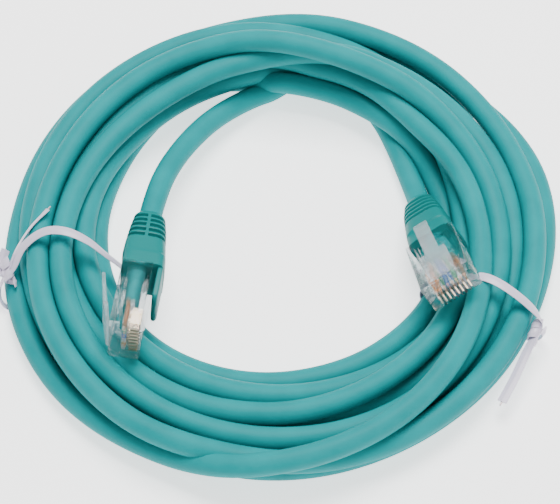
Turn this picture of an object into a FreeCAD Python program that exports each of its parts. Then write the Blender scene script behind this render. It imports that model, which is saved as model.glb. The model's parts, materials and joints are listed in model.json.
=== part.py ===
import FreeCAD, Part
import math
import os

import Sketcher
from FreeCAD import Placement, Rotation, Vector

# A coiled patch cable: a round jacketed cord wound into a flat ring and held by two twist ties,
# with a booted eight-contact modular plug on each end. Millimetres, +Z up, ring lying on Z = 0.

doc = FreeCAD.newDocument("patch_cable")
sheet = doc.addObject("Spreadsheet::Sheet", "Sizes")

SIZES = [
    ("jacket_diameter", 5.0),
    ("jacket_flat_width", 6.8),
    ("jacket_flat_height", 3.3),
    ("coil_centre_x", 1.22),
    ("coil_outer_radius", 62.0),
    ("coil_inner_radius", 34.0),
    ("coil_height", 11.4),
    ("coil_rounding", 2.6),
    ("plug_width", 11.68),
    ("plug_height", 6.6),
    ("plug_length", 21.46),
    ("plug_edge", 0.35),
    ("neck_width", 9.0),
    ("neck_start", 17.4),
    ("neck_inset", 0.2),
    ("row_pitch", 1.016),
    ("row_height", 3.48),
    ("channel_width", 8.24),
    ("channel_height", 1.1),
    ("channel_start", 1.0),
    ("cavity_start", 5.4),
    ("cavity_height", 4.0),
    ("cavity_end", 18.6),
    ("slot_width", 0.42),
    ("slot_length", 5.6),
    ("cutter_reach", 2.0),
    ("bore_start", 12.4),
    ("bore_clearance", 0.2),
    ("window_start", 12.2),
    ("window_length", 2.6),
    ("window_depth", 0.7),
    ("step_start", 7.4),
    ("step_length", 0.9),
    ("step_depth", 0.6),
    ("contact_thickness", 0.32),
    ("contact_start", 0.5),
    ("contact_length", 4.8),
    ("contact_recess", 0.45),
    ("contact_depth", 1.9),
    ("prong_length", 0.9),
    ("prong_height", 0.5),
    ("front_prong", 1.0),
    ("rear_prong", 3.0),
    ("wire_diameter", 0.94),
    ("core_diameter", 0.5),
    ("bundle_pitch", 0.85),
    ("bundle_layers", 1.0),
    ("wire_front", 1.3),
    ("splay_length", 2.0),
    ("bundle_length", 0.6),
    ("jacket_end_start", 8.2),
    ("jacket_flat_end", 14.0),
    ("jacket_round_start", 18.4),
    ("lead_straight", 4.0),
    ("boot_start", 17.5),
    ("boot_band_end", 25.5),
    ("boot_end", 34.0),
    ("front_half_width", 5.3),
    ("band_half_width", 4.5),
    ("back_half_width", 3.2),
    ("front_bottom", -2.2),
    ("band_bottom", -1.0),
    ("back_bottom", 0.1),
    ("front_top", 7.3),
    ("band_top", 7.1),
    ("back_top", 6.5),
    ("latch_step_length", 3.4),
    ("latch_step_clear", 0.3),
    ("groove_width", 0.75),
    ("groove_depth", 0.8),
    ("groove_count", 5),
    ("tongue_width", 8.8),
    ("tongue_start", 9.2),
    ("tongue_thickness", 1.4),
    ("tongue_gap", 0.8),
    ("boot_clearance", 0.03),
    ("latch_width", 6.2),
    ("lever_width", 3.2),
    ("hinge_back", 0.85),
    ("hinge_height", 6.8),
    ("hinge_roll", 0.45),
    ("hinge_clearance", 0.06),
    ("hinge_side_gap", 0.1),
    ("shoulder_length", 6.3),
    ("shoulder_low", 1.2),
    ("shoulder_high", 2.2),
    ("lever_start", 5.5),
    ("lever_end", 15.4),
    ("lever_start_low", 1.06),
    ("lever_start_high", 1.9),
    ("lever_end_low", 3.25),
    ("lever_end_high", 3.95),
    ("tie_width", 2.8),
    ("tie_thickness", 0.7),
    ("tie_wire", 0.3),
    ("tie_clearance", 0.1),
    ("tie_rounding", 2.4),
    ("tie_slot_gap", 0.2),
    ("knot_radius", 0.95),
    ("knot_length", 5.4),
    ("knot_offset", 0.75),
    ("knot_height", 7.0),
    ("tail_radius", 0.8),
    ("tail_length", 9.0),
    ("seat_clearance", 0.25),
    ("seat_height", 11.5),
]
for row, (alias, value) in enumerate(SIZES, start=1):
    sheet.set("A%d" % row, alias)
    sheet.set("B%d" % row, str(value))
    sheet.setAlias("B%d" % row, alias)
doc.recompute()

# All places below are measured from the middle of the ring, on the surface that it lies on.
# Which way each connector lies: nose point, then heading, pitch and roll in degrees.
CONNECTORS = {
    "a": {"nose": Vector(-32.9, -34.2, 17.0), "heading": -7.0, "pitch": -7.8, "roll": -86.0},
    "b": {"nose": Vector(35.8, -22.3, 19.2), "heading": 8.9, "pitch": -25.0, "roll": -29.0},
}
# Each lead from the back of its boot to where it dives into the ring, points laid by hand.
LEADS = {
    "a": [(-26.3, 13.0, 10.2), (-21.4, 23.5, 8.0), (-14.0, 33.4, 5.8), (-3.0, 41.6, 3.6)],
    "b": [(28.8, 18.0, 2.7), (26.2, 26.4, 2.6), (22.0, 34.6, 2.6)],
}
WIRE_COLOURS = ["white_orange", "orange", "white_green", "blue", "white_blue", "green", "white_brown", "brown"]
TIES = {"left": 184.0, "right": -36.0}
TAIL_DIRECTION = Vector(-0.1, 0.66, 0.5)
TANGENT_SHARE = 0.45

parts = []


def size(name):
    return float(sheet.get(name))


def bind(obj, **expressions):
    for prop, expression in expressions.items():
        obj.setExpression(prop.replace("__", "."), expression)


def keep(obj, label, placement=Placement()):
    """Name a finished sub-part, set it in place and list it for writing."""
    obj.Label = label
    obj.Placement = Placement(Vector(size("coil_centre_x"), 0, 0), Rotation()).multiply(placement)
    parts.append(obj)
    return obj


def block(name, corner, extent):
    """A box whose low corner and extents are spreadsheet expressions."""
    obj = doc.addObject("Part::Box", name)
    bind(obj, Length=extent[0], Width=extent[1], Height=extent[2])
    bind(obj, Placement__Base__x=corner[0], Placement__Base__y=corner[1], Placement__Base__z=corner[2])
    return obj


def rod(name, start, direction, radius, length):
    """A cylinder from start along direction, its radius and length being expressions."""
    obj = doc.addObject("Part::Cylinder", name)
    obj.Placement.Rotation = Rotation(Vector(0, 0, 1), direction)
    bind(obj, Radius=radius, Height=length)
    bind(obj, Placement__Base__x=start[0], Placement__Base__y=start[1], Placement__Base__z=start[2])
    return obj


def fuse(name, shapes):
    obj = doc.addObject("Part::MultiFuse", name)
    obj.Shapes = shapes
    return obj


def gather(name, shapes):
    """Separate solids kept apart under one name, leaving the originals where they were made."""
    obj = doc.addObject("Part::Compound", name)
    obj.Links = shapes
    return obj


def cut(name, base, tools):
    obj = doc.addObject("Part::Cut", name)
    obj.Base = base
    obj.Tool = tools[0] if len(tools) == 1 else fuse(name + "_tools", tools)
    return obj


def edges_along(shape, axis):
    """Names of the straight edges parallel to axis."""
    names = []
    for number, edge in enumerate(shape.Edges, start=1):
        if isinstance(edge.Curve, Part.Line) and abs(edge.Curve.Direction.dot(axis)) > 0.999:
            names.append("Edge%d" % number)
    return names


def rounded_block(name, corner, extent, axis, radius):
    """A body holding one box whose edges parallel to axis are rounded."""
    body = doc.addObject("PartDesign::Body", name)
    box = body.newObject("PartDesign::AdditiveBox", name + "_box")
    bind(box, Length=extent[0], Width=extent[1], Height=extent[2])
    bind(box, Placement__Base__x=corner[0], Placement__Base__y=corner[1], Placement__Base__z=corner[2])
    doc.recompute()
    fillet = body.newObject("PartDesign::Fillet", name + "_round")
    fillet.Base = (box, edges_along(box.Shape, axis))
    bind(fillet, Radius=radius)
    doc.recompute()
    return body


def origin_plane(body, role):
    return next(plane for plane in body.Origin.OriginFeatures if plane.Role == role)


def outline(body, name, role, corners, offset=None):
    """A closed sketch whose corners are pairs of expressions measured from the sketch's origin."""
    sketch = body.newObject("Sketcher::SketchObject", name)
    sketch.AttachmentSupport = [(origin_plane(body, role), "")]
    sketch.MapMode = "FlatFace"
    if offset is not None:
        bind(sketch, AttachmentOffset__Base__z=offset)
    count = len(corners)
    for index in range(count):
        here = 2 * math.pi * index / count
        following = 2 * math.pi * (index + 1) / count
        first = Vector(5 * math.cos(here), 5 * math.sin(here), 0)
        second = Vector(5 * math.cos(following), 5 * math.sin(following), 0)
        sketch.addGeometry(Part.LineSegment(first, second), False)
    for index in range(count):
        sketch.addConstraint(Sketcher.Constraint("Coincident", index, 2, (index + 1) % count, 1))
    for index, (across, up) in enumerate(corners):
        for kind, expression in (("DistanceX", across), ("DistanceY", up)):
            number = sketch.addConstraint(Sketcher.Constraint(kind, -1, 1, index, 1, 5.0 + index))
            sketch.setExpression("Constraints[%d]" % number, expression)
    doc.recompute()
    return sketch


def route_wire(points):
    """Straight runs joined by tangent arcs, with each arc as large as its two runs allow."""
    corners = [Vector(*point) for point in points]
    edges = []
    radii = []
    here = corners[0]
    for before, corner, after in zip(corners, corners[1:], corners[2:]):
        back = (before - corner).normalize()
        ahead = (after - corner).normalize()
        half_turn = (math.pi - back.getAngle(ahead)) / 2
        reach = TANGENT_SHARE * min((before - corner).Length, (after - corner).Length)
        radius = reach / math.tan(half_turn)
        bisector = (back + ahead).normalize()
        middle = corner + bisector * (radius / math.cos(half_turn) - radius)
        start = corner + back * reach
        end = corner + ahead * reach
        edges.append(Part.LineSegment(here, start).toShape())
        edges.append(Part.Arc(start, middle, end).toShape())
        radii.append(radius)
        here = end
    edges.append(Part.LineSegment(here, corners[-1]).toShape())
    return Part.Wire(edges), radii


def swept_rod(name, points, radius):
    """A round rod swept along a route of runs and arcs, radius being an expression."""
    wire, radii = route_wire(points)
    path = doc.addObject("Part::Feature", name + "_path")
    path.Shape = wire
    ring = doc.addObject("Part::Circle", name + "_ring")
    bind(ring, Radius=radius)
    first, second = Vector(*points[0]), Vector(*points[1])
    ring.Placement = Placement(first, Rotation(Vector(0, 0, 1), second - first))
    sweep = doc.addObject("Part::Sweep", name + "_sweep")
    sweep.Sections = [ring]
    sweep.Spine = (path, ["Edge%d" % number for number in range(1, len(wire.Edges) + 1)])
    sweep.Solid = True
    sweep.Frenet = False
    sweep.Transition = "Right corner"
    doc.recompute()
    section = math.pi * ring.Radius.Value ** 2
    print(name, "length", round(wire.Length, 1), "radii", [round(value, 1) for value in radii],
          "volume ratio", round(sweep.Shape.Volume / (section * wire.Length), 4))
    return sweep


def connector_placement(end):
    pose = CONNECTORS[end]
    turn = (Rotation(Vector(0, 0, 1), pose["heading"])
            .multiply(Rotation(Vector(1, 0, 0), pose["pitch"]))
            .multiply(Rotation(Vector(0, 1, 0), pose["roll"])))
    nose_middle = Vector(0, 0, size("plug_height") / 2)
    return Placement(pose["nose"] - turn.multVec(nose_middle), turn)


# Every connector piece is modelled nose at Y = 0, cable leaving along +Y, latch on the +Z face.

def housing(end, placement):
    """Clear plug body: neck, eight contact slots, conductor channel, jacket cavity and windows."""
    name = "housing_" + end
    shell = rounded_block(name + "_shell", ("-Sizes.plug_width / 2", "0", "0"),
                          ("Sizes.plug_width", "Sizes.neck_start", "Sizes.plug_height"),
                          Vector(0, 1, 0), "Sizes.plug_edge")
    neck = block(name + "_neck", ("-Sizes.neck_width / 2", "Sizes.neck_start", "Sizes.neck_inset"),
                 ("Sizes.neck_width", "Sizes.plug_length - Sizes.neck_start",
                  "Sizes.plug_height - 2 * Sizes.neck_inset"))
    tools = [
        block(name + "_channel", ("-Sizes.channel_width / 2", "Sizes.channel_start",
                                  "Sizes.row_height - Sizes.channel_height / 2"),
              ("Sizes.channel_width", "Sizes.cavity_start", "Sizes.channel_height")),
        block(name + "_cavity", ("-Sizes.channel_width / 2", "Sizes.cavity_start",
                                 "Sizes.plug_height / 2 - Sizes.cavity_height / 2"),
              ("Sizes.channel_width", "Sizes.cavity_end - Sizes.cavity_start", "Sizes.cavity_height")),
        rod(name + "_bore", ("0", "Sizes.bore_start", "Sizes.plug_height / 2"), Vector(0, 1, 0),
            "Sizes.jacket_diameter / 2 + Sizes.bore_clearance", "Sizes.plug_length"),
        block(name + "_window", ("-Sizes.latch_width / 2", "Sizes.window_start",
                                 "Sizes.plug_height - Sizes.window_depth"),
              ("Sizes.latch_width", "Sizes.window_length", "Sizes.cutter_reach")),
        block(name + "_step", ("-Sizes.channel_width / 2", "Sizes.step_start",
                               "Sizes.plug_height - Sizes.step_depth"),
              ("Sizes.channel_width", "Sizes.step_length", "Sizes.cutter_reach")),
        rod(name + "_hinge_seat", ("-Sizes.latch_width / 2 - Sizes.hinge_side_gap", "Sizes.hinge_back",
                                   "Sizes.hinge_height"), Vector(1, 0, 0),
            "Sizes.hinge_roll + Sizes.hinge_clearance", "Sizes.latch_width + 2 * Sizes.hinge_side_gap"),
    ]
    for index in range(8):
        tools.append(block("%s_slot_%d" % (name, index + 1),
                           ("(%d - 3.5) * Sizes.row_pitch - Sizes.slot_width / 2" % index,
                            "-Sizes.cutter_reach", "-Sizes.cutter_reach"),
                           ("Sizes.slot_width", "Sizes.slot_length + Sizes.cutter_reach",
                            "Sizes.row_height + Sizes.cutter_reach - Sizes.channel_height / 2")))
    keep(cut(name, fuse(name + "_body", [shell, neck]), tools), name, placement)


def latch(end, placement):
    """Clear latch: a hinge roll, a wide shoulder that locks and a narrow thumb lever."""
    name = "latch_" + end
    body = doc.addObject("PartDesign::Body", name + "_blade")
    hinge_y, hinge_z = "Sizes.hinge_back", "Sizes.hinge_height"
    shoulder = outline(body, name + "_shoulder", "YZ_Plane", [
        (hinge_y, hinge_z + " - Sizes.hinge_roll / 2"),
        (hinge_y + " + Sizes.shoulder_length", hinge_z + " + Sizes.shoulder_low"),
        (hinge_y + " + Sizes.shoulder_length", hinge_z + " + Sizes.shoulder_high"),
        (hinge_y, hinge_z + " + Sizes.hinge_roll")])
    pad = body.newObject("PartDesign::Pad", name + "_shoulder_pad")
    pad.Profile = shoulder
    pad.SideType = "Symmetric"
    bind(pad, Length="Sizes.latch_width")
    doc.recompute()
    lever = outline(body, name + "_lever", "YZ_Plane", [
        (hinge_y + " + Sizes.lever_start", hinge_z + " + Sizes.lever_start_low"),
        (hinge_y + " + Sizes.lever_end", hinge_z + " + Sizes.lever_end_low"),
        (hinge_y + " + Sizes.lever_end", hinge_z + " + Sizes.lever_end_high"),
        (hinge_y + " + Sizes.lever_start", hinge_z + " + Sizes.lever_start_high")])
    stem = body.newObject("PartDesign::Pad", name + "_lever_pad")
    stem.Profile = lever
    stem.SideType = "Symmetric"
    bind(stem, Length="Sizes.lever_width")
    doc.recompute()
    roll = rod(name + "_roll", ("-Sizes.latch_width / 2", hinge_y, hinge_z), Vector(1, 0, 0),
               "Sizes.hinge_roll", "Sizes.latch_width")
    keep(fuse(name, [body, roll]), name, placement)


def contacts(end, placement):
    """Eight flat blades in their slots, each with two prongs that reach up to its conductor."""
    for index in range(8):
        name = "contact_%s%d" % (end, index + 1)
        side = "(%d - 3.5) * Sizes.row_pitch - Sizes.contact_thickness / 2" % index
        blade = block(name + "_blade", (side, "Sizes.contact_start", "Sizes.contact_recess"),
                      ("Sizes.contact_thickness", "Sizes.contact_length", "Sizes.contact_depth"))
        prongs = [block("%s_prong_%d" % (name, number),
                        (side, "Sizes.contact_start + %s" % reach, "Sizes.contact_recess + Sizes.contact_depth"),
                        ("Sizes.contact_thickness", "Sizes.prong_length", "Sizes.prong_height"))
                  for number, reach in enumerate(("Sizes.front_prong", "Sizes.rear_prong"))]
        keep(fuse(name, [blade] + prongs), name, placement)


def wire_route(index):
    """A conductor from the jacket's end, where they lie two deep, to its place in the flat row."""
    pitch = size("row_pitch")
    row = (index - 3.5) * pitch
    bundle = (index - 3.5) * size("bundle_pitch")
    layer = size("plug_height") / 2 + (index % 2 - 0.5) * size("bundle_layers")
    front = size("wire_front")
    back = size("jacket_end_start")
    height = size("row_height")
    return [(row, front, height), (row, back - size("splay_length"), height),
            (bundle, back - size("bundle_length"), layer), (bundle, back, layer)]


def wires(end, placement):
    """Eight insulated conductors, each with a copper core of its own, the cores sharing one node."""
    cores = []
    for index, colour in enumerate(WIRE_COLOURS):
        name = "wire_%s_%s" % (colour, end)
        core = swept_rod(name + "_core", wire_route(index), "Sizes.core_diameter / 2")
        sleeve = swept_rod(name + "_sleeve", wire_route(index), "Sizes.wire_diameter / 2")
        keep(cut(name, sleeve, [core]), name, placement)
        cores.append(core)
    keep(gather("conductor_cores_" + end, cores), "conductor_cores_" + end, placement)


def jacket_end(end, placement):
    """The jacket inside the plug and boot: pressed flat in the cavity, round where it leaves."""
    name = "jacket_end_" + end
    flat = ("Sizes.jacket_flat_width / 2", "Sizes.jacket_flat_height / 2")
    round_ = ("Sizes.jacket_diameter / 2", "Sizes.jacket_diameter / 2")
    stations = [("Sizes.jacket_end_start", flat), ("Sizes.jacket_flat_end", flat),
                ("Sizes.jacket_round_start", round_), ("Sizes.boot_end", round_)]
    rings = []
    for number, (station, (wide, tall)) in enumerate(stations):
        ring = doc.addObject("Part::Ellipse", "%s_ring_%d" % (name, number))
        ring.Placement.Rotation = Rotation(Vector(1, 0, 0), -90)
        bind(ring, MajorRadius=wide, MinorRadius=tall)
        bind(ring, Placement__Base__y=station, Placement__Base__z="Sizes.plug_height / 2")
        rings.append(ring)
    tube = doc.addObject("Part::Loft", name)
    tube.Sections = rings
    tube.Solid = True
    tube.Ruled = True
    keep(tube, name, placement)


def boot(end, placement):
    """Moulded boot: tapered and grooved at the back, gripping the neck, with a tongue under the plug."""
    name = "boot_" + end
    body = doc.addObject("PartDesign::Body", name + "_taper")
    sketches = []
    for station, place in (("front", "Sizes.boot_start"), ("band", "Sizes.boot_band_end"),
                           ("back", "Sizes.boot_end")):
        half, low, high = ("Sizes.%s_%s" % (station, side) for side in ("half_width", "bottom", "top"))
        corners = [("-" + half, low), (half, low), (half, high), ("-" + half, high)]
        sketches.append(outline(body, "%s_%s" % (name, station), "XZ_Plane", corners, "-" + place))
    loft = body.newObject("PartDesign::AdditiveLoft", name + "_loft")
    loft.Profile = sketches[0]
    loft.Sections = sketches[1:]
    loft.Ruled = True
    doc.recompute()
    tongue = rounded_block(name + "_tongue", ("-Sizes.tongue_width / 2", "Sizes.tongue_start",
                                              "-Sizes.tongue_gap - Sizes.tongue_thickness"),
                           ("Sizes.tongue_width", "Sizes.boot_start + Sizes.cutter_reach - Sizes.tongue_start",
                            "Sizes.tongue_thickness"), Vector(0, 0, 1), "Sizes.tongue_thickness / 2")
    tools = [
        block(name + "_socket", ("-Sizes.neck_width / 2 - Sizes.boot_clearance",
                                 "Sizes.boot_start - Sizes.cutter_reach",
                                 "Sizes.neck_inset - Sizes.boot_clearance"),
              ("Sizes.neck_width + 2 * Sizes.boot_clearance",
               "Sizes.plug_length - Sizes.boot_start + Sizes.cutter_reach + Sizes.boot_clearance",
               "Sizes.plug_height - 2 * Sizes.neck_inset + 2 * Sizes.boot_clearance")),
        rod(name + "_bore", ("0", "Sizes.boot_start", "Sizes.plug_height / 2"), Vector(0, 1, 0),
            "Sizes.jacket_diameter / 2", "Sizes.boot_end"),
        block(name + "_latch_step", ("-Sizes.plug_width", "Sizes.boot_start - Sizes.cutter_reach",
                                     "Sizes.plug_height + Sizes.latch_step_clear"),
              ("2 * Sizes.plug_width", "Sizes.latch_step_length + Sizes.cutter_reach", "Sizes.plug_height")),
    ]
    for index in range(int(size("groove_count"))):
        along = "%d / Sizes.groove_count" % index
        station = "(Sizes.boot_band_end + %s * (Sizes.boot_end - Sizes.boot_band_end))" % along
        half, low, high = ("(Sizes.band_%s + %s * (Sizes.back_%s - Sizes.band_%s))" % (side, along, side, side)
                           for side in ("half_width", "bottom", "top"))
        outer = block("%s_ring_%d" % (name, index), ("-Sizes.plug_width", station, "-Sizes.plug_width"),
                      ("2 * Sizes.plug_width", "Sizes.groove_width", "3 * Sizes.plug_width"))
        inner = block("%s_core_%d" % (name, index), ("Sizes.groove_depth - " + half,
                                                     station + " - Sizes.groove_width",
                                                     low + " + Sizes.groove_depth"),
                      ("2 * (%s - Sizes.groove_depth)" % half, "3 * Sizes.groove_width",
                       "%s - %s - 2 * Sizes.groove_depth" % (high, low)))
        tools.append(cut("%s_groove_%d" % (name, index), outer, [inner]))
    keep(cut(name, fuse(name + "_body", [body, tongue]), tools), name, placement)


def section_block(name, grow, width):
    """The ring's section, grown on every face but the floor's and rounded, as long as width."""
    floor = "(Sizes.tie_clearance + Sizes.tie_thickness - %s)" % grow
    return rounded_block(name, ("Sizes.coil_inner_radius - " + grow, "-%s / 2" % width, floor),
                         ("Sizes.coil_outer_radius - Sizes.coil_inner_radius + 2 * %s" % grow, width,
                          "Sizes.coil_height + %s - %s" % (grow, floor)),
                         Vector(0, 1, 0), "Sizes.tie_rounding + " + grow)


def tie_frame(name, inset, width):
    """A flat band closed round the ring's section, inset inwards from both faces of the strip."""
    outer = section_block(name + "_outer", "(Sizes.tie_clearance + Sizes.tie_thickness - %s)" % inset, width)
    inner = section_block(name + "_inner", "(Sizes.tie_clearance + %s)" % inset, "(2 * %s)" % width)
    return cut(name, outer, [inner])


def tie(side, angle):
    """Twist tie: a plastic band round the bundle with a wire along its middle, ends twisted outside."""
    name = "tie_" + side
    placement = Placement(Vector(0, 0, 0), Rotation(Vector(0, 0, 1), angle))
    outside = "Sizes.coil_outer_radius + Sizes.tie_clearance + Sizes.tie_thickness"
    half_wire = "(Sizes.tie_thickness / 2 - Sizes.tie_wire / 2)"
    band = tie_frame(name + "_band", "0", "Sizes.tie_width")
    core = tie_frame(name + "_core", half_wire, "Sizes.tie_wire")
    place = outside + " + Sizes.knot_offset"
    knot = rod(name + "_knot", (place, "-Sizes.tie_width / 2", "Sizes.knot_height"), Vector(0, 1, 0),
               "Sizes.knot_radius", "Sizes.knot_length")
    tail = rod(name + "_tail", (place, "Sizes.knot_length - Sizes.tie_width / 2 - Sizes.knot_radius / 2",
                                "Sizes.knot_height"), TAIL_DIRECTION, "Sizes.tail_radius", "Sizes.tail_length")
    plastic = cut(name + "_strip", fuse(name + "_whole", [band, knot, tail]), [core])
    keep(plastic, name + "_strip", placement)
    keep(gather(name + "_wire", [core]), name + "_wire", placement)


def coil():
    """The wound cord as one ring of the bundle's shape, hollowed where ties and connectors press in."""
    body = doc.addObject("PartDesign::Body", "coil_body")
    profile = outline(body, "coil_profile", "XZ_Plane", [
        ("Sizes.coil_inner_radius", "0"),
        ("Sizes.coil_outer_radius", "0"),
        ("Sizes.coil_outer_radius", "Sizes.coil_height"),
        ("Sizes.coil_inner_radius", "Sizes.coil_height")])
    ring = body.newObject("PartDesign::Revolution", "coil_ring")
    ring.Profile = profile
    ring.ReferenceAxis = (profile, ["V_Axis"])
    ring.Angle = 360
    doc.recompute()
    rounding = body.newObject("PartDesign::Fillet", "coil_rounding")
    rounding.Base = (ring, ["Edge%d" % number for number, edge in enumerate(ring.Shape.Edges, start=1)
                            if isinstance(edge.Curve, Part.Circle)])
    bind(rounding, Radius="Sizes.coil_rounding")
    doc.recompute()
    notches = []
    for side, angle in TIES.items():
        slab = block("slab_" + side, ("0", "-Sizes.tie_width / 2 - Sizes.tie_slot_gap", "-Sizes.cutter_reach"),
                     ("2 * Sizes.coil_outer_radius", "Sizes.tie_width + 2 * Sizes.tie_slot_gap",
                      "2 * Sizes.coil_height"))
        inside = section_block("bundle_" + side, "0", "(2 * Sizes.tie_width)")
        notch = cut("notch_" + side, slab, [inside])
        notch.Placement = Placement(Vector(0, 0, 0), Rotation(Vector(0, 0, 1), angle))
        notches.append(notch)
    for end in CONNECTORS:
        seat = block("seat_" + end, ("-Sizes.plug_width / 2 - Sizes.seat_clearance", "-Sizes.seat_clearance",
                                     "Sizes.front_bottom - Sizes.seat_clearance"),
                     ("Sizes.plug_width + 2 * Sizes.seat_clearance", "Sizes.boot_end + Sizes.seat_clearance",
                      "Sizes.seat_height - Sizes.front_bottom"))
        sunk = gather("seat_cut_" + end, [seat])
        sunk.Placement = connector_placement(end)
        notches.append(sunk)
    return cut("ring_solid", body, notches)


def lead(end, placement, ring):
    """The free stretch of jacket from the back of a boot to where it dives into the ring."""
    name = "cable_lead_" + end
    start = [placement.multVec(Vector(0, along, size("plug_height") / 2))
             for along in (size("boot_end"), size("boot_end") + size("lead_straight"))]
    sweep = swept_rod(name, [tuple(point) for point in start] + LEADS[end], "Sizes.jacket_diameter / 2")
    keep(cut(name, sweep, [ring]), name)


ring = coil()
for end in CONNECTORS:
    place = connector_placement(end)
    housing(end, place)
    latch(end, place)
    boot(end, place)
    contacts(end, place)
    wires(end, place)
    jacket_end(end, place)
    lead(end, place, ring)
keep(gather("cable_coil", [ring]), "cable_coil")
for side, angle in TIES.items():
    tie(side, angle)
doc.recompute()

failed = [obj.Name for obj in doc.Objects if "Invalid" in obj.State or "Error" in obj.State]
if failed:
    raise RuntimeError("objects that did not compute: %s" % failed)
for part in parts:
    if part.Shape.isNull() or not part.Shape.isValid() or not part.Shape.Solids:
        raise RuntimeError("bad shape: %s" % part.Label)

os.makedirs("parts", exist_ok=True)
whole = FreeCAD.BoundBox()
for part in parts:
    part.Shape.exportStep("parts/%s.step" % part.Label)
    whole.add(part.Shape.BoundBox)
print("nodes", len(parts), "box", whole)
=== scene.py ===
import json
import math

import bmesh
import bpy
import numpy as np
from mathutils import Matrix, Vector


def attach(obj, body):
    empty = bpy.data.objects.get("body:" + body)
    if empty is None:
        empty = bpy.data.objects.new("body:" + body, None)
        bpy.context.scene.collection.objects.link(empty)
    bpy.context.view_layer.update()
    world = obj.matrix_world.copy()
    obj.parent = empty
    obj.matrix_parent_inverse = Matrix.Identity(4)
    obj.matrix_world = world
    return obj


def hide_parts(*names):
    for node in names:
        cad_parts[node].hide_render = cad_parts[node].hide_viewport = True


# The looks of a coiled network patch cable. The scene is in metres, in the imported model's own frame. The
# cord's stations, the boots and the ties are laid out in millimetres, which MM turns into metres. The plugs,
# latches, contacts and conductors are the CAD's; the cord, the boots and the twist ties are made here.

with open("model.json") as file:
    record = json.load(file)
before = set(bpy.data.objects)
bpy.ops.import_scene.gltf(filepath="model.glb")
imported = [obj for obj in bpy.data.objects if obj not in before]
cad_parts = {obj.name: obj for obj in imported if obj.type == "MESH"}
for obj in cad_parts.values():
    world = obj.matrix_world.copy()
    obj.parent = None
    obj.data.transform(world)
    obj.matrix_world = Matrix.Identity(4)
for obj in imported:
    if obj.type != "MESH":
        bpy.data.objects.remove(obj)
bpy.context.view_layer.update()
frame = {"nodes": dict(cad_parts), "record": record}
RECORD = frame["record"]

MM = 0.001
# The jacket's diameter and the middle of the ring, in metres.
JACKET = 5.0 * MM
CENTRE = Vector((1.22 * MM, 0, 0))
# In a connector's own directions, in millimetres: the height of its middle above its underside, the back
# of its boot from its nose, and how far its lead runs straight on from there.
PLUG_MIDDLE = 3.3
BOOT_END = 34.0
LEAD_STRAIGHT = 4.0


def plug_frame(end):
    """The middle of a connector's nose and its own axes: across, towards the cord and towards the latch."""
    mount = next(item for item in RECORD["mounts"] if item["name"] == "plug_" + end)
    hinge = next(item for item in RECORD["behaviour"]["joints"] if item["name"] == "latch_%s_flex" % end)
    across, along = -Vector(hinge["axis"]), -Vector(mount["axis"])
    return Vector(mount["pos_m"]), across, along, across.cross(along)


PLUGS = {end: plug_frame(end) for end in "ab"}


def in_plug(end, x, y, z):
    """A point of the scene from millimetres in a connector's own directions, z from its underside."""
    nose, across, along, up = PLUGS[end]
    return nose + (across * x + along * y + up * (z - PLUG_MIDDLE)) * MM


# ---------------------------------------------------------------- the cord's line

# Each lead from boot to ring, given in millimetres from the middle of the ring.
LEADS = {
    "a": [(-26.0, 13.4, 10.3), (-21.4, 23.5, 8.0), (-15.3, 32.3, 6.0), (-7.2, 39.3, 4.2), (-0.8, 42.6, 3.2)],
    "b": [(28.8, 18.0, 2.7), (26.2, 26.4, 2.6), (23.2, 34.2, 2.6)],
}

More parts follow.
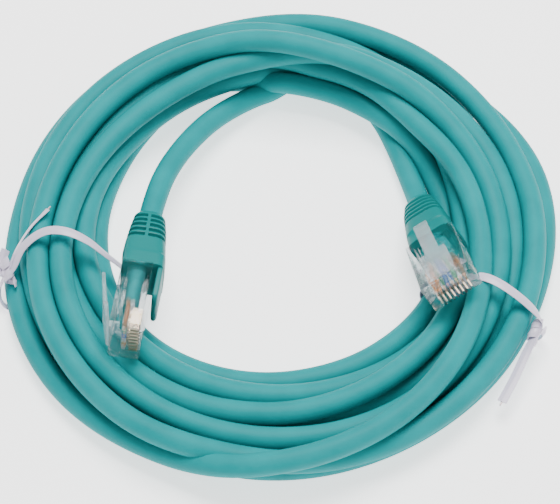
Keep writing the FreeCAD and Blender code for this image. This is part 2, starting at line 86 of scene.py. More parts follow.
# One list a turn, in the order that the cord goes round. Each station is the angle in degrees, the
# radius at which the strand's middle shows from the camera, the height it starts from and whether
# it shows there. What is under the others finds its own place.
TURNS = [
    [(62, 43.5, 2.6, 1), (72, 46.3, 2.6, 1), (85, 48.3, 2.6, 0), (108, 47.5, 2.6, 0),
     (130, 45.6, 2.6, 0), (150, 41.9, 2.6, 1), (165, 41.4, 2.6, 1), (190, 40.9, 2.6, 1),
     (222, 40.5, 2.6, 1), (240, 39.4, 2.6, 1), (260, 38.3, 2.6, 1), (290, 37.0, 2.6, 1),
     (315, 37.3, 2.6, 1), (335, 37.9, 2.6, 1)],
    [(0, 37.5, 2.6, 0), (22, 37.3, 2.6, 1), (39, 39.9, 4.5, 1), (58, 41.6, 7.5, 1), (75, 42.6, 7.5, 1),
     (90, 43.5, 7.5, 1), (100, 44.8, 7.0, 1), (110, 46.0, 6.0, 1), (120, 46.8, 4.5, 0),
     (150, 46.0, 2.6, 0), (200, 46.0, 2.6, 0), (270, 46.0, 2.6, 0), (330, 47.0, 2.6, 0)],
    [(0, 47.2, 2.6, 0), (40, 50.0, 2.6, 0), (60, 52.3, 5.0, 1), (70, 54.5, 7.0, 1), (77, 55.8, 8.0, 1),
     (90, 57.8, 8.5, 1), (105, 59.0, 8.5, 1), (120, 58.6, 8.5, 1), (140, 57.7, 8.0, 1),
     (160, 56.4, 7.5, 1), (180, 55.6, 6.5, 1), (200, 55.2, 5.5, 1), (218, 55.8, 4.0, 1),
     (240, 58.2, 2.6, 0), (260, 59.1, 2.6, 1), (280, 58.5, 2.6, 1), (300, 57.0, 2.6, 0),
     (325, 56.0, 2.6, 0), (345, 56.9, 2.6, 1)],
    [(0, 58.4, 2.6, 1), (20, 60.1, 2.6, 1), (38, 58.2, 2.6, 1), (50, 56.3, 2.6, 1), (70, 55.6, 2.6, 1),
     (100, 55.5, 2.6, 0), (150, 54.0, 2.6, 0), (200, 52.0, 2.6, 0), (270, 51.5, 2.6, 0),
     (320, 51.4, 2.6, 1)],
    [(0, 51.6, 3.2, 1), (30, 51.6, 6.0, 1), (50, 51.8, 8.0, 1), (62, 51.6, 8.5, 1), (75, 51.4, 9.0, 1),
     (90, 50.3, 11.0, 1), (105, 48.9, 12.0, 1), (120, 47.1, 12.0, 1), (135, 46.0, 10.0, 1),
     (150, 45.9, 9.0, 1), (165, 46.5, 8.0, 1), (180, 47.3, 7.8, 1), (200, 48.5, 7.8, 1),
     (222, 49.6, 7.8, 1), (240, 50.6, 7.8, 1), (263, 51.0, 7.8, 1), (290, 50.9, 7.8, 1),
     (310, 50.0, 7.8, 1), (330, 48.9, 7.8, 1)],
    [(0, 47.8, 7.8, 1), (25, 47.9, 9.0, 1), (45, 48.8, 11.0, 1), (60, 49.9, 12.0, 1),
     (76, 51.3, 13.0, 1), (90, 52.8, 12.5, 1), (104, 54.3, 12.0, 1), (120, 54.2, 10.0, 1),
     (140, 53.4, 8.5, 1), (160, 52.5, 7.8, 1), (180, 52.6, 7.8, 1), (200, 53.9, 7.8, 1),
     (220, 55.0, 7.8, 1), (240, 56.1, 7.8, 1), (262, 56.7, 7.8, 1), (280, 56.8, 7.8, 1),
     (300, 56.3, 7.8, 1), (330, 55.4, 7.5, 1)],
    [(0, 55.4, 7.2, 1), (20, 56.4, 7.2, 1), (40, 57.8, 7.2, 1), (60, 59.6, 5.5, 1), (75, 60.0, 4.0, 1),
     (90, 59.3, 2.8, 1), (110, 58.5, 2.6, 0), (140, 57.0, 2.6, 0), (160, 57.0, 2.6, 0),
     (175, 58.0, 2.6, 1), (190, 59.4, 3.5, 1), (200, 60.1, 5.0, 1), (210, 60.7, 6.5, 1),
     (220, 60.8, 8.0, 1), (230, 60.4, 9.5, 1), (240, 59.7, 11.0, 1), (250, 58.6, 12.5, 1),
     (260, 57.5, 13.0, 1), (270, 55.9, 13.5, 1), (280, 54.1, 13.5, 1), (290, 52.1, 13.5, 1),
     (300, 50.3, 13.5, 1), (310, 48.3, 13.0, 1), (320, 46.7, 13.0, 1), (330, 45.3, 12.8, 1),
     (345, 43.5, 12.5, 1)],
    [(0, 42.6, 12.0, 1), (20, 43.0, 11.5, 1), (38, 42.9, 11.0, 1), (50, 44.2, 10.5, 1),
     (63, 47.0, 9.5, 1), (75, 48.6, 8.5, 1), (90, 49.6, 7.0, 1), (110, 49.8, 4.0, 1),
     (135, 49.4, 2.6, 1), (150, 49.0, 2.6, 1), (180, 48.5, 4.5, 0), (205, 47.5, 6.5, 0),
     (222, 47.0, 7.2, 1), (243, 46.6, 7.2, 1), (258, 45.4, 7.2, 1), (270, 44.9, 7.2, 1),
     (285, 43.7, 7.2, 1), (300, 42.6, 7.2, 1), (325, 41.4, 7.2, 1)],
    [(0, 40.2, 7.2, 1), (14, 40.7, 7.2, 1), (22, 42.0, 7.2, 1), (38, 43.3, 6.5, 0), (60, 45.4, 6.5, 1),
     (75, 46.3, 7.5, 1), (90, 46.3, 8.0, 1), (100, 46.1, 8.5, 1), (118, 45.1, 8.5, 1),
     (130, 43.9, 7.5, 1), (142, 43.2, 6.5, 1), (160, 43.6, 6.0, 1), (180, 43.6, 5.5, 1),
     (222, 42.0, 5.0, 1), (245, 41.3, 4.8, 1), (270, 40.9, 4.5, 1), (300, 41.2, 3.5, 1),
     (320, 41.8, 2.8, 1), (340, 42.2, 2.6, 0)],
    [(0, 42.3, 2.6, 0), (30, 43.8, 2.6, 0), (45, 46.0, 4.5, 0), (58, 49.0, 8.0, 0), (68, 51.0, 9.0, 0),
     (75, 50.8, 8.0, 0), (82, 48.0, 5.0, 1), (86, 44.6, 3.2, 1)],
]
# Points in a turn.
STEPS = 36
# A strand shows farther back by LEAN of its height above LEAN_HEIGHT, as the camera looks down at 56 degrees.
LEAN = 0.675
LEAN_HEIGHT = 5.0
# Where the ties pass under the ring, how much a strand is lifted there, and over how many degrees each way.
TIE_ANGLES = (196.0, -24.0)
TIE_LIFT = 0.85
TIE_LIFT_SPREAD = 5.0
# Half the box that a strand keeps out of round a connector, and how much it narrows by the boot's end.
PLUG_HALF_WIDTH = 5.84
PLUG_HALF_DEPTH = 4.6
PLUG_TAPER = 2.0
# How the strands settle. In each round a strand goes DRIFT of the way to its station's radius, and VIEW_PULL
# more where it shows, is smoothed by SMOOTHING and sinks by SAG millimetres. It is then pushed off the leads,
# the connectors and the other strands by a share of how far it lies in them. VIEW_PULL and SMOOTHING fall by
# EASING of themselves towards the last round.
ROUNDS = 1200
VIEW_PULL = 0.4
DRIFT = 0.02
SMOOTHING = 0.14
SAG = 0.02
EASING = 0.65
LEAD_PUSH = 0.5
PLUG_PUSH = 0.3
STRAND_PUSH = 0.8
# Strands keep this far apart, in diameters of the jacket, and the leads push none of them that are less than
# FREE_FROM points from an end of the ring, where the cord runs on into them.
STRAND_GAP = 1.02
FREE_FROM = STEPS / 8
# Added to a distance that something is divided by, in case it is nothing.
TINY = 1e-9


def stations():
    """Each station as (turns gone round, seen radius, height, shows), in the order of the cord."""
    return [(turn + angle / 360, radius, height, shows)
            for turn, marks in enumerate(TURNS) for angle, radius, height, shows in marks]


def smooth_through(knots, values, places):
    """Values at places on a smooth monotone curve through the knots."""
    knots, values = np.array(knots), np.array(values, float)
    slopes = np.diff(values) / np.diff(knots)
    tangents = np.empty(len(values))
    tangents[0], tangents[-1] = slopes[0], slopes[-1]
    left, right = slopes[:-1], slopes[1:]
    same = left * right > 0
    tangents[1:-1] = np.where(same, 2 * left * right / np.where(same, left + right, 1), 0)
    cell = np.clip(np.searchsorted(knots, places, side="right") - 1, 0, len(slopes) - 1)
    width = np.diff(knots)[cell]
    u = (places - knots[cell]) / width
    return ((1 + 2 * u) * (1 - u) ** 2 * values[cell] + u * (1 - u) ** 2 * width * tangents[cell]
            + u * u * (3 - 2 * u) * values[cell + 1] + u * u * (u - 1) * width * tangents[cell + 1])


def ring_floor(angle):
    """The lowest height of a strand's middle, lifted where a twist tie passes under it."""
    floor = np.full_like(angle, JACKET / MM / 2)
    for side in TIE_ANGLES:
        apart = np.degrees(np.angle(np.exp(1j * (angle - math.radians(side)))))
        floor += TIE_LIFT * np.exp(-(apart / TIE_LIFT_SPREAD) ** 2)
    return floor


def lead_points(end):
    """A lead from the back of its boot to the ring, in metres."""
    start = [in_plug(end, 0, BOOT_END + run, PLUG_MIDDLE) for run in (0, LEAD_STRAIGHT)]
    laid = [CENTRE + Vector(point) * MM for point in LEADS[end]]
    return start + laid


def in_ring(place):
    """A scene point in millimetres from the middle of the ring."""
    return tuple((place - CENTRE) / MM)


def spine(points, gap=1.5):
    """Points about gap millimetres apart along straight runs, in millimetres from the middle of the ring."""
    corners = [np.array(in_ring(point)) for point in points]
    rows = []
    for start, end in zip(corners, corners[1:]):
        count = max(2, math.ceil(np.linalg.norm(end - start) / gap))
        rows += [start + (end - start) * k / count for k in range(count)]
    return np.array(rows + [corners[-1]])


# Where each lead goes on to under the ring, in millimetres, to keep the strands over it off it there as well.
LEAD_DIVES = {"a": (3.2, 45.4, 3.2), "b": (20.6, 40.2, 2.5)}
LEAD_SPINES = [spine(lead_points(end) + [CENTRE + Vector(LEAD_DIVES[end]) * MM]) for end in "ab"]
PLUG_AXES = [(np.array(in_ring(nose)), np.array([across, along, up]))
             for nose, across, along, up in PLUGS.values()]


def keep_off_leads(radius, height, cosine, sine, free):
    """Moves strands off both leads, but for the strands that the leads run on into."""
    for places in LEAD_SPINES:
        gap = np.stack([radius * cosine, radius * sine, height], 1)[:, None] - places
        distance = np.linalg.norm(gap, axis=2)
        nearest = distance.argmin(1)
        row = np.arange(len(radius))
        near, way = distance[row, nearest], gap[row, nearest]
        push = free * np.clip(JACKET / MM - near, 0, None) / (near + TINY) * LEAD_PUSH
        radius += push * (way[:, 0] * cosine + way[:, 1] * sine)
        height += push * way[:, 2]


def keep_off_plugs(radius, height, cosine, sine):
    """Moves strands out of each connector's box by the shortest way."""
    half = JACKET / MM / 2
    for nose, axes in PLUG_AXES:
        local = (np.stack([radius * cosine, radius * sine, height], 1) - nose) @ axes.T
        along = np.clip(local[:, 1] / BOOT_END, 0, 1)
        inside = (local[:, 1] > -half) & (local[:, 1] < BOOT_END)
        wide = PLUG_HALF_WIDTH - along * PLUG_TAPER + half
        tall = PLUG_HALF_DEPTH - along * PLUG_TAPER + half
        lack = np.stack([wide - np.abs(local[:, 0]), tall - np.abs(local[:, 2])], 1)
        hit = inside & (lack > 0).all(1)
        side = lack.argmin(1)
        way = np.where((side == 0)[:, None], np.sign(local[:, 0])[:, None] * axes[0],
                       np.sign(local[:, 2])[:, None] * axes[2])
        step = np.where(hit, lack.min(1), 0)[:, None] * way * PLUG_PUSH
        radius += step[:, 0] * cosine + step[:, 1] * sine
        height += step[:, 2]


def push_apart(radius, height, one, two):
    """Moves each pair of strands that lie in each other apart, each by half, within their section."""
    across, up = radius[two] - radius[one], height[two] - height[one]
    gap = np.hypot(across, up) + TINY
    push = np.clip(JACKET / MM * STRAND_GAP - gap, 0, None) / 2 / gap
    for values, share in ((radius, across * push), (height, up * push)):
        np.add.at(values, one, -share * STRAND_PUSH)
        np.add.at(values, two, share * STRAND_PUSH)


def true_radius(seen, height, sine):
    """The radius of a strand from the one that it shows at and its height."""
    return seen - (height - LEAN_HEIGHT) * LEAN * sine


def settle_turns():
    """The angles, radii and heights of the ring's strands: pushed apart, pulled down and kept in view."""
    knots, seen, high, shows = (list(column) for column in zip(*stations()))
    first, last = math.ceil(knots[0] * STEPS), math.floor(knots[-1] * STEPS)
    index = np.arange(first, last + 1)
    place = index / STEPS
    angle = place * 2 * math.pi
    cosine, sine = np.cos(angle), np.sin(angle)
    seen = smooth_through(knots, seen, place)
    height = smooth_through(knots, high, place)
    grip = np.interp(place, knots, shows)
    radius = true_radius(seen, height, sine)
    floor = ring_floor(angle)
    free = ((index > first + FREE_FROM) & (index < last - FREE_FROM)).astype(float)
    pairs = [(a, b) for a in range(len(index)) for b in range(a + STEPS, len(index), STEPS)]
    one, two = np.array(pairs).T
    for done in range(ROUNDS):
        ease = 1 - EASING * done / ROUNDS
        radius += (VIEW_PULL * grip * ease + DRIFT) * (true_radius(seen, height, sine) - radius)
        for values in (radius, height):
            values[1:-1] += SMOOTHING * ease * (values[:-2] + values[2:] - 2 * values[1:-1])
        height -= SAG
        keep_off_leads(radius, height, cosine, sine, free)
        keep_off_plugs(radius, height, cosine, sine)
        push_apart(radius, height, one, two)
        height[:] = np.maximum(height, floor)
    return angle, radius, height


def cord_points():
    """The cord's middle line in metres, from the boot of plug b to the boot of plug a."""
    angle, radius, height = settle_turns()
    ring = [CENTRE + Vector((r * math.cos(a), r * math.sin(a), z)) * MM
            for a, r, z in zip(angle.tolist(), radius.tolist(), height.tolist())]
    return lead_points("b") + ring + lead_points("a")[::-1]


def cord_curve(name, points, radius):
    """A round cord or wire along a smooth line near the points."""
    data = bpy.data.curves.new(name, "CURVE")
    data.dimensions = "3D"
    spline = data.splines.new("NURBS")
    spline.points.add(len(points) - 1)
    for point, place in zip(spline.points, points):
        point.co = (*place, 1.0)
    spline.order_u = 3
    spline.use_endpoint_u = True
    spline.resolution_u = 6
    data.bevel_depth = radius
    data.bevel_resolution = 7
    obj = bpy.data.objects.new(name, data)
    bpy.context.collection.objects.link(obj)
    return obj


# ---------------------------------------------------------------- materials

# The depth of a surface's relief and the scale of its slow drift of colour and gloss, with the detail of each.
RELIEF_DEPTH = 0.05 * MM
RELIEF_DETAIL = 3.0
DRIFT_SCALE = 0.12 / MM
DRIFT_DETAIL = 4.0
# A conductor's stripe: how often it comes round, and where in that its colour begins and is full.
STRIPE_SCALE = 0.18 / MM
STRIPE_EDGE = (0.62, 0.70)
# How the whiteness of clear plastic gathers at its edges, and how white they get.
EDGE_BLEND = 0.3
EDGE_VEIL = 0.85


def material(name, colour, roughness, grain=0.0, bump=0.0, mottle=0.0, **sockets):
    """A moulded or plated surface: grain per millimetre, how much it stands out, and a drift of colour."""
    made = bpy.data.materials.new(name)
    made.use_nodes = True
    tree = made.node_tree
    shader = tree.nodes["Principled BSDF"]
    shader.inputs["Base Color"].default_value = (*colour, 1)
    shader.inputs["Roughness"].default_value = roughness
    for socket, value in sockets.items():
        shader.inputs[socket.replace("_", " ")].default_value = value
    where = tree.nodes.new("ShaderNodeTexCoord")
    if bump:
        noise = tree.nodes.new("ShaderNodeTexNoise")
        noise.inputs["Scale"].default_value = grain / MM
        noise.inputs["Detail"].default_value = RELIEF_DETAIL
        relief = tree.nodes.new("ShaderNodeBump")
        relief.inputs["Strength"].default_value = bump
        relief.inputs["Distance"].default_value = RELIEF_DEPTH
        tree.links.new(where.outputs["Object"], noise.inputs["Vector"])
        tree.links.new(noise.outputs["Fac"], relief.inputs["Height"])
        tree.links.new(relief.outputs["Normal"], shader.inputs["Normal"])
    if mottle:
        drift = tree.nodes.new("ShaderNodeTexNoise")
        drift.inputs["Scale"].default_value = DRIFT_SCALE
        drift.inputs["Detail"].default_value = DRIFT_DETAIL
        tree.links.new(where.outputs["Object"], drift.inputs["Vector"])
        tint = tree.nodes.new("ShaderNodeMapRange")
        tint.inputs["To Min"].default_value = roughness * (1 - mottle)
        tint.inputs["To Max"].default_value = roughness * (1 + mottle)
        tree.links.new(drift.outputs["Fac"], tint.inputs["Value"])
        tree.links.new(tint.outputs["Result"], shader.inputs["Roughness"])
        ramp = tree.nodes.new("ShaderNodeValToRGB")
        for stop, share in zip(ramp.color_ramp.elements, (1 - mottle, 1 + mottle)):
            stop.color = (*(min(1.0, channel * share) for channel in colour), 1)
        tree.links.new(drift.outputs["Fac"], ramp.inputs["Fac"])
        tree.links.new(ramp.outputs["Color"], shader.inputs["Base Color"])
    return made


def striped(name, base, mark):
    """Conductor insulation with a coloured stripe winding round it."""
    made = material(name, base, **INSULATION_FINISH)
    tree = made.node_tree
    wave = tree.nodes.new("ShaderNodeTexWave")
    wave.bands_direction = "DIAGONAL"
    wave.inputs["Scale"].default_value = STRIPE_SCALE
    ramp = tree.nodes.new("ShaderNodeValToRGB")
    for stop, colour, position in zip(ramp.color_ramp.elements, (base, mark), STRIPE_EDGE):
        stop.color = (*colour, 1)
        stop.position = position
    where = next(node for node in tree.nodes if node.bl_idname == "ShaderNodeTexCoord")
    tree.links.new(where.outputs["Object"], wave.inputs["Vector"])
    tree.links.new(wave.outputs["Fac"], ramp.inputs["Fac"])
    tree.links.new(ramp.outputs["Color"], tree.nodes["Principled BSDF"].inputs["Base Color"])
    return made


def clear_moulding(name, colour, roughness, clear=1.0, thinnest=0.30):
    """Clear plastic, part of it plainly see-through and whiter towards its edges."""
    made = material(name, colour, roughness, grain=0.25, bump=0.1, IOR=1.45, Transmission_Weight=clear)
    tree = made.node_tree
    edge = tree.nodes.new("ShaderNodeLayerWeight")
    edge.inputs["Blend"].default_value = EDGE_BLEND
    veil = tree.nodes.new("ShaderNodeMapRange")
    veil.inputs["To Min"].default_value = thinnest
    veil.inputs["To Max"].default_value = EDGE_VEIL
    tree.links.new(edge.outputs["Facing"], veil.inputs["Value"])
    tree.links.new(veil.outputs["Result"], tree.nodes["Principled BSDF"].inputs["Alpha"])
    return made


INSULATION = {"orange": (0.85, 0.28, 0.05), "blue": (0.06, 0.16, 0.55), "green": (0.05, 0.32, 0.12),
              "brown": (0.26, 0.12, 0.05)}
INSULATION_WHITE = (0.82, 0.82, 0.80)
INSULATION_FINISH = {"roughness": 0.35, "grain": 2.0, "bump": 0.1}
SURFACES = {
    "jacket": material("jacket_teal", (0.0, 0.258, 0.270), roughness=0.56, grain=1.4, bump=0.6, mottle=0.24,
                       Specular_IOR_Level=0.12),
    "boot": material("boot_teal", (0.0, 0.185, 0.180), roughness=0.42, grain=1.6, bump=0.25, mottle=0.05,
                     Specular_IOR_Level=0.2),
    "clear_plastic": clear_moulding("clear_polycarbonate", (0.97, 0.99, 1.0), roughness=0.03),
    "contact": material("gold_plating", (0.96, 0.79, 0.60), roughness=0.24, grain=2.5, bump=0.15, mottle=0.05,
                        Metallic=1.0),
    "copper": material("bare_copper", (0.90, 0.50, 0.34), roughness=0.3, grain=3.0, bump=0.15, mottle=0.05,
                       Metallic=1.0),
    "tie_plastic": material("tie_film", (0.76, 0.70, 0.85), roughness=0.30, grain=0.9, bump=0.35, mottle=0.04,
                            Transmission_Weight=0.15, IOR=1.45),
    "tie_wire": material("tie_steel", (0.66, 0.52, 0.54), roughness=0.35, grain=3.0, bump=0.2, mottle=0.05,
                         Metallic=0.9),
}
for hue, tone in INSULATION.items():
    SURFACES["insulation_" + hue] = material("wire_" + hue, tone, **INSULATION_FINISH)
    SURFACES["insulation_white_" + hue] = striped("wire_white_" + hue, INSULATION_WHITE, tone)
LATCH_PLASTIC = clear_moulding("clear_latch", (0.90, 0.95, 1.0), roughness=0.12, clear=0.7, thinnest=0.42)


def dress(node, surface):
    """Puts one material in all the slots of a CAD node."""
    for held in frame["nodes"][node].material_slots:
        held.material = surface


for item in RECORD["subparts"]:
    dress(item["node"], SURFACES[item["material_slot"]])
for end in "ab":
    dress("latch_" + end, LATCH_PLASTIC)


def finish_piece(obj, slot, *nodes):
    """Gives a new piece its material in a new slot and its body, and hides the CAD nodes that it stands for.
    """
    obj.data.materials.append(SURFACES[slot])
    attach(obj, "cable")
    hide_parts(*nodes)
    return obj


# ---------------------------------------------------------------- meshes from rings of points

SHARP_ANGLE = math.radians(40)


def skin_rings(mesh, rings):
    """Joins rings of equal point counts into a closed tube with flat ends."""
    rows = [[mesh.verts.new(point) for point in ring] for ring in rings]
    count = len(rows[0])
    for before, after in zip(rows, rows[1:]):
        for k in range(count):
            mesh.faces.new((before[k], before[(k + 1) % count], after[(k + 1) % count], after[k]))
    mesh.faces.new(rows[0][::-1])
    mesh.faces.new(rows[-1])


def mesh_object(name, tubes):
    """One object made of closed tubes, smooth but for its sharp edges."""
    mesh = bmesh.new()
    for rings in tubes:
        skin_rings(mesh, rings)
    bmesh.ops.recalc_face_normals(mesh, faces=mesh.faces)
    data = bpy.data.meshes.new(name)
    mesh.to_mesh(data)
    mesh.free()
    data.polygons.foreach_set("use_smooth", [True] * len(data.polygons))
    data.set_sharp_from_angle(angle=SHARP_ANGLE)
    obj = bpy.data.objects.new(name, data)
    bpy.context.collection.objects.link(obj)
    return obj


def catmull(points, steps):
    """A smooth line through points of any number of columns."""
    points = [np.array(point, float) for point in points]
    padded = [2 * points[0] - points[1]] + points + [2 * points[-1] - points[-2]]
    line = []
    for a, b, c, d in zip(padded, padded[1:], padded[2:], padded[3:]):
        for k in range(steps):
            u = k / steps
            line.append(0.5 * (2 * b + (c - a) * u + (2 * a - 5 * b + 4 * c - d) * u * u
                               + (3 * b - a - 3 * c + d) * u ** 3))
    return line + [points[-1]]


# ---------------------------------------------------------------- boots

# Along the boot and its tongue, from nose to cord, in a connector's own millimetres: the section's place,
# half width, underside, top and squareness.
BOOT_FORM = [(17.5, 5.25, -2.3, 6.9, 7.0), (20.8, 5.2, -2.2, 6.9, 6.0), (21.3, 5.1, -2.1, 7.3, 5.0),
             (25.2, 4.85, -1.6, 7.25, 4.0), (29.5, 4.45, -1.1, 7.05, 3.4), (33.2, 3.7, -0.4, 6.7, 2.8),
             (34.0, 3.2, 0.1, 6.4, 2.5)]
TONGUE_FORM = [(9.2, 3.2, -1.7, -1.2, 3.0), (9.5, 4.0, -2.05, -0.9, 4.0), (10.2, 4.4, -2.2, -0.8, 6.0),
               (18.0, 4.4, -2.2, -0.8, 6.0)]
# The grooves between the ribs: the middle of the first, their spacing, and their half width and depth.
GROOVES = 5
GROOVE_START = 26.0
GROOVE_PITCH = 1.55
GROOVE_HALF_WIDTH = 0.36
GROOVE_DEPTH = 0.95
# The spines along both sides: their half height, and where the sides begin as a share of the half width.
SPINE_HALF_HEIGHT = 0.42
SPINE_SIDE = 0.5
# Points round a section, how far they crowd towards its sides, where the spines are, and the space between
# sections.
AROUND = 88
SIDE_CROWDING = 0.45
BOOT_STEP = 0.13
# The dimple that the cord comes out of: its clearance, its depth and the squareness of a circle.
BORE_CLEARANCE = 0.06
BORE_DEPTH = 1.5
CIRCLE = 2.0


def form_at(form, place):
    """The section's half width, underside, top and squareness at a place along the boot."""
    known, *columns = zip(*form)
    return [float(np.interp(place, known, column)) for column in columns]


def section(end, place, half, low, high, square, cut=0.0):
    """One ring round the boot; the cut is taken off all round, but for the spines along both sides."""
    middle, tall = (low + high) / 2, (high - low) / 2
    ring = []
    for k in range(AROUND):
        turn = 2 * math.pi * k / AROUND
        turn -= SIDE_CROWDING * math.sin(2 * turn)
        c, s = math.cos(turn), math.sin(turn)
        x = math.copysign(abs(c) ** (2 / square), c)
        z = math.copysign(abs(s) ** (2 / square), s)
        beside = abs(z * tall) < SPINE_HALF_HEIGHT and abs(x) > SPINE_SIDE
        depth = 0 if beside else cut
        ring.append(in_plug(end, x * (half - depth), place, middle + z * (tall - depth)))
    return ring


def groove_cut(place):
    """How deep the grooves are cut at a place along the boot."""
    cut = 0.0
    for k in range(GROOVES):
        apart = (place - GROOVE_START - k * GROOVE_PITCH) / GROOVE_HALF_WIDTH
        cut = max(cut, GROOVE_DEPTH * math.exp(-apart ** 4))
    return cut


def boot(end):
    """A connector's moulded boot with its tongue."""
    first, last = BOOT_FORM[0][0], BOOT_FORM[-1][0]
    count = round((last - first) / BOOT_STEP)
    places = [first + (last - first) * k / count for k in range(count + 1)]
    body = [section(end, place, *form_at(BOOT_FORM, place), cut=groove_cut(place)) for place in places]
    bore = JACKET / MM / 2 + BORE_CLEARANCE
    for depth in (0.0, BORE_DEPTH):
        body.append(section(end, last - depth, bore, PLUG_MIDDLE - bore, PLUG_MIDDLE + bore, CIRCLE))
    tongue = [section(end, *row) for row in TONGUE_FORM]
    made = mesh_object("moulded_boot_" + end, [body, tongue])
    return finish_piece(made, "boot", "boot_" + end)


BOOTS = {end: boot(end) for end in "ab"}

# ---------------------------------------------------------------- twist ties

# Each strip from its free tail round the bundle to its stub: millimetres from the middle of the ring,
# and the twist in degrees away from lying flat on the bundle.
TIE_LINES = {
    "left": [(-50.9, 1.2, 14.0, 25), (-54.4, -2.6, 12.8, 20), (-57.4, -7.0, 10.8, 10),
             (-59.3, -10.8, 8.2, 0), (-61.3, -13.0, 4.6, 0), (-60.8, -15.2, 1.5, 0),
             (-57.5, -15.6, 0.45, 0), (-48.0, -13.6, 0.45, 0), (-38.0, -11.4, 0.45, 0),
             (-34.2, -10.5, 1.9, 0), (-33.4, -10.2, 5.0, 0), (-34.6, -10.6, 9.0, 0),
             (-37.8, -9.9, 12.6, 0), (-42.0, -7.9, 15.4, 0), (-46.8, -6.3, 16.6, 0),
             (-51.5, -6.0, 15.7, 0), (-55.8, -7.6, 12.6, -15), (-58.3, -10.4, 9.2, -50),
             (-60.4, -12.0, 7.6, -70), (-61.2, -9.2, 7.4, -70), (-60.2, -5.6, 8.4, -60)],
    "right": [(46.5, -42.1, 5.0, 80), (49.3, -36.9, 5.7, 75), (52.0, -31.2, 6.4, 70),
              (54.3, -26.8, 7.0, 50), (56.2, -24.8, 5.8, 10), (56.6, -24.1, 3.6, 0),
              (55.4, -23.6, 1.2, 0), (51.5, -22.6, 0.45, 0), (42.0, -18.6, 0.45, 0),
              (33.4, -14.8, 0.45, 0), (31.0, -13.8, 2.0, 0), (30.5, -13.6, 5.0, 0),
              (31.8, -14.0, 7.8, 0), (35.0, -14.8, 9.4, 0), (38.8, -15.4, 11.8, 0),
              (42.4, -16.3, 14.0, 0), (46.0, -18.0, 14.4, 0), (50.6, -20.8, 13.0, 0),
              (54.4, -23.2, 10.3, -10), (55.4, -24.8, 8.3, -40), (53.8, -27.2, 6.8, -60)],
}
# The wrapped twist where a strip's ends meet: its axis, its radius, how many times it goes round and in
# how many steps.
KNOTS = {"left": ((-58.7, -13.2, 6.4), (-59.9, -9.2, 9.0)), "right": ((53.4, -28.0, 6.4), (55.0, -24.2, 7.8))}
KNOT_RADIUS = 1.05
KNOT_TURNS = 2.0
KNOT_STEPS = 48
# The strip's width and its thickness over the wire, the ridge that the wire makes in it and the ridge's half
# width, the powers that shape the section's edges and faces, the lower the squarer, and the points round it.
TIE_WIDTH = 2.1
TIE_THICKNESS = 0.6
TIE_RIDGE = 0.16
RIDGE_HALF_WIDTH = 0.3
TIE_EDGE = 0.7
TIE_FACE = 0.4
TIE_AROUND = 24
# The wire's diameter, and how far it stands out of the strip at the tail.
TIE_WIRE = 0.34
WIRE_TIP = 0.9
# Steps from one of a strip's points to the next, and the middle of the bundle, which its flat side faces.
TIE_STEPS = 10
BUNDLE_RADIUS = 48.0
BUNDLE_HEIGHT = 7.0


def strip_frames(line):
    """Places, flat-side directions and width directions along a strip."""
    rows = catmull(line, TIE_STEPS)
    places = [Vector(row[:3]) for row in rows]
    frames = []
    for k, place in enumerate(places):
        ahead = (places[min(k + 1, len(places) - 1)] - places[max(k - 1, 0)]).normalized()
        around = math.atan2(place.y, place.x)
        inner = Vector((BUNDLE_RADIUS * math.cos(around), BUNDLE_RADIUS * math.sin(around), BUNDLE_HEIGHT))
        out = place - inner
        out = (out - ahead * out.dot(ahead)).normalized()
        out = Matrix.Rotation(math.radians(rows[k][3]), 3, ahead) @ out
        frames.append((place, out, ahead.cross(out).normalized()))
    return frames


def knot_frames(ends):
    """The same three directions along a strip wound round a short axis."""
    start, end = (Vector(point) for point in ends)
    axis = (end - start).normalized()
    side = axis.orthogonal().normalized()
    other = axis.cross(side)
    frames = []
    for k in range(KNOT_STEPS + 1):
        turn = 2 * math.pi * KNOT_TURNS * k / KNOT_STEPS
        out = side * math.cos(turn) + other * math.sin(turn)
        place = start.lerp(end, k / KNOT_STEPS) + out * KNOT_RADIUS
        frames.append((place, out, axis))
    return frames


def strip_section(place, out, wide):
    """A thin flat section with round edges and a ridge over the wire."""
    ring = []
    for k in range(TIE_AROUND):
        turn = 2 * math.pi * k / TIE_AROUND
        c, s = math.cos(turn), math.sin(turn)
        x = math.copysign(abs(c) ** TIE_EDGE, c) * TIE_WIDTH / 2
        thick = TIE_THICKNESS / 2 - TIE_RIDGE + TIE_RIDGE * math.exp(-(x / RIDGE_HALF_WIDTH) ** 2)
        z = math.copysign(abs(s) ** TIE_FACE, s) * thick
        ring.append(CENTRE + (place + wide * x + out * z) * MM)
    return ring


def tie(side):
    """A twist tie: its strip with the twisted knot, and the wire inside it."""
    frames = strip_frames(TIE_LINES[side])
    wrap = knot_frames(KNOTS[side])
    tubes = [[strip_section(*row) for row in rows] for rows in (frames, wrap)]
    strip = mesh_object("twist_strip_" + side, tubes)
    finish_piece(strip, "tie_plastic", "tie_%s_strip" % side)
    line = [CENTRE + place * MM for place, _, _ in frames]
    line[0] += (line[0] - line[1]).normalized() * WIRE_TIP * MM
    wire = cord_curve("twist_wire_" + side, line, TIE_WIRE / 2 * MM)
    finish_piece(wire, "tie_wire", "tie_%s_wire" % side)


for side in TIE_LINES:
    tie(side)

# ---------------------------------------------------------------- the cord

cord = cord_curve("cord", cord_points(), JACKET / 2)
finish_piece(cord, "jacket", "cable_coil", "cable_lead_a", "cable_lead_b")

# ---------------------------------------------------------------- stage

FLOOR_HALF = 3.0
FLOOR_DROP = 0.1 * MM
FLOOR_GLOW = 1.5
BACKDROP_LIGHT = 0.58
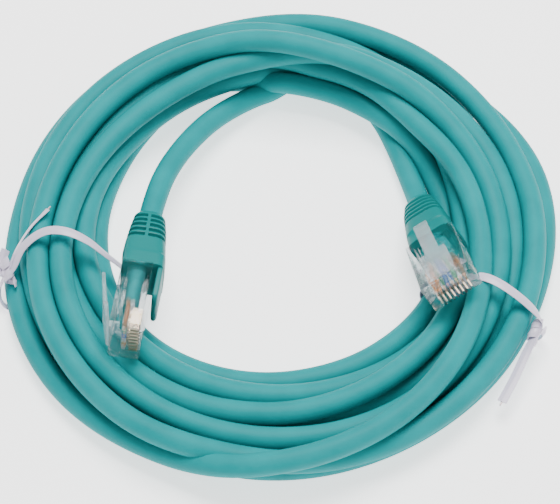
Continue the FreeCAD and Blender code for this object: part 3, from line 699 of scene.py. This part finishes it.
# Each lamp's place, watts and size; both point at the middle of the scene.
LAMPS = {"key": ((0.05, 0.20, 0.72), 8.8, 0.4), "fill": ((0.5, -0.4, 0.6), 1.2, 0.6)}
# The camera's lens and sensor in millimetres, how far up it stands, its distance and the picture's shift.
LENS = 159.1
SENSOR = 36
ELEVATION = math.radians(56)
DISTANCE = 0.55
SHIFT = (-0.0027, -0.0039)
NEAREST = 0.01


def stage():
    """A white floor, the backdrop and two lamps."""
    corners = [(x * FLOOR_HALF, y * FLOOR_HALF, 0) for x, y in ((-1, -1), (1, -1), (1, 1), (-1, 1))]
    data = bpy.data.meshes.new("floor")
    data.from_pydata(corners, [], [(0, 1, 2, 3)])
    floor = bpy.data.objects.new("floor", data)
    floor.location.z = -FLOOR_DROP
    bpy.context.collection.objects.link(floor)
    data.materials.append(material("floor_white", (0.95, 0.95, 0.95), roughness=0.7, mottle=0.004,
                                   Emission_Color=(1, 1, 1, 1), Emission_Strength=FLOOR_GLOW))
    world = bpy.data.worlds.new("studio")
    world.use_nodes = True
    backdrop = world.node_tree.nodes["Background"]
    backdrop.inputs["Color"].default_value = (1, 1, 1, 1)
    backdrop.inputs["Strength"].default_value = BACKDROP_LIGHT
    bpy.context.scene.world = world
    for name, (place, watts, size) in LAMPS.items():
        lamp = bpy.data.lights.new(name, "AREA")
        lamp.energy = watts
        lamp.size = size
        light = bpy.data.objects.new(name, lamp)
        light.location = place
        light.rotation_euler = (-Vector(place)).to_track_quat("-Z", "Y").to_euler()
        bpy.context.collection.objects.link(light)


def camera():
    """The camera in front of the ring, looking down on its middle."""
    data = bpy.data.cameras.new("camera")
    data.sensor_width = SENSOR
    data.lens = LENS
    made = bpy.data.objects.new("camera", data)
    back, up = DISTANCE * math.cos(ELEVATION), DISTANCE * math.sin(ELEVATION)
    made.location = CENTRE + Vector((0, -back, up))
    made.rotation_euler = (math.pi / 2 - ELEVATION, 0, 0)
    data.shift_x, data.shift_y = SHIFT
    data.clip_start = NEAREST
    bpy.context.collection.objects.link(made)
    bpy.context.scene.camera = made


stage()
camera()
bpy.context.view_layer.update()
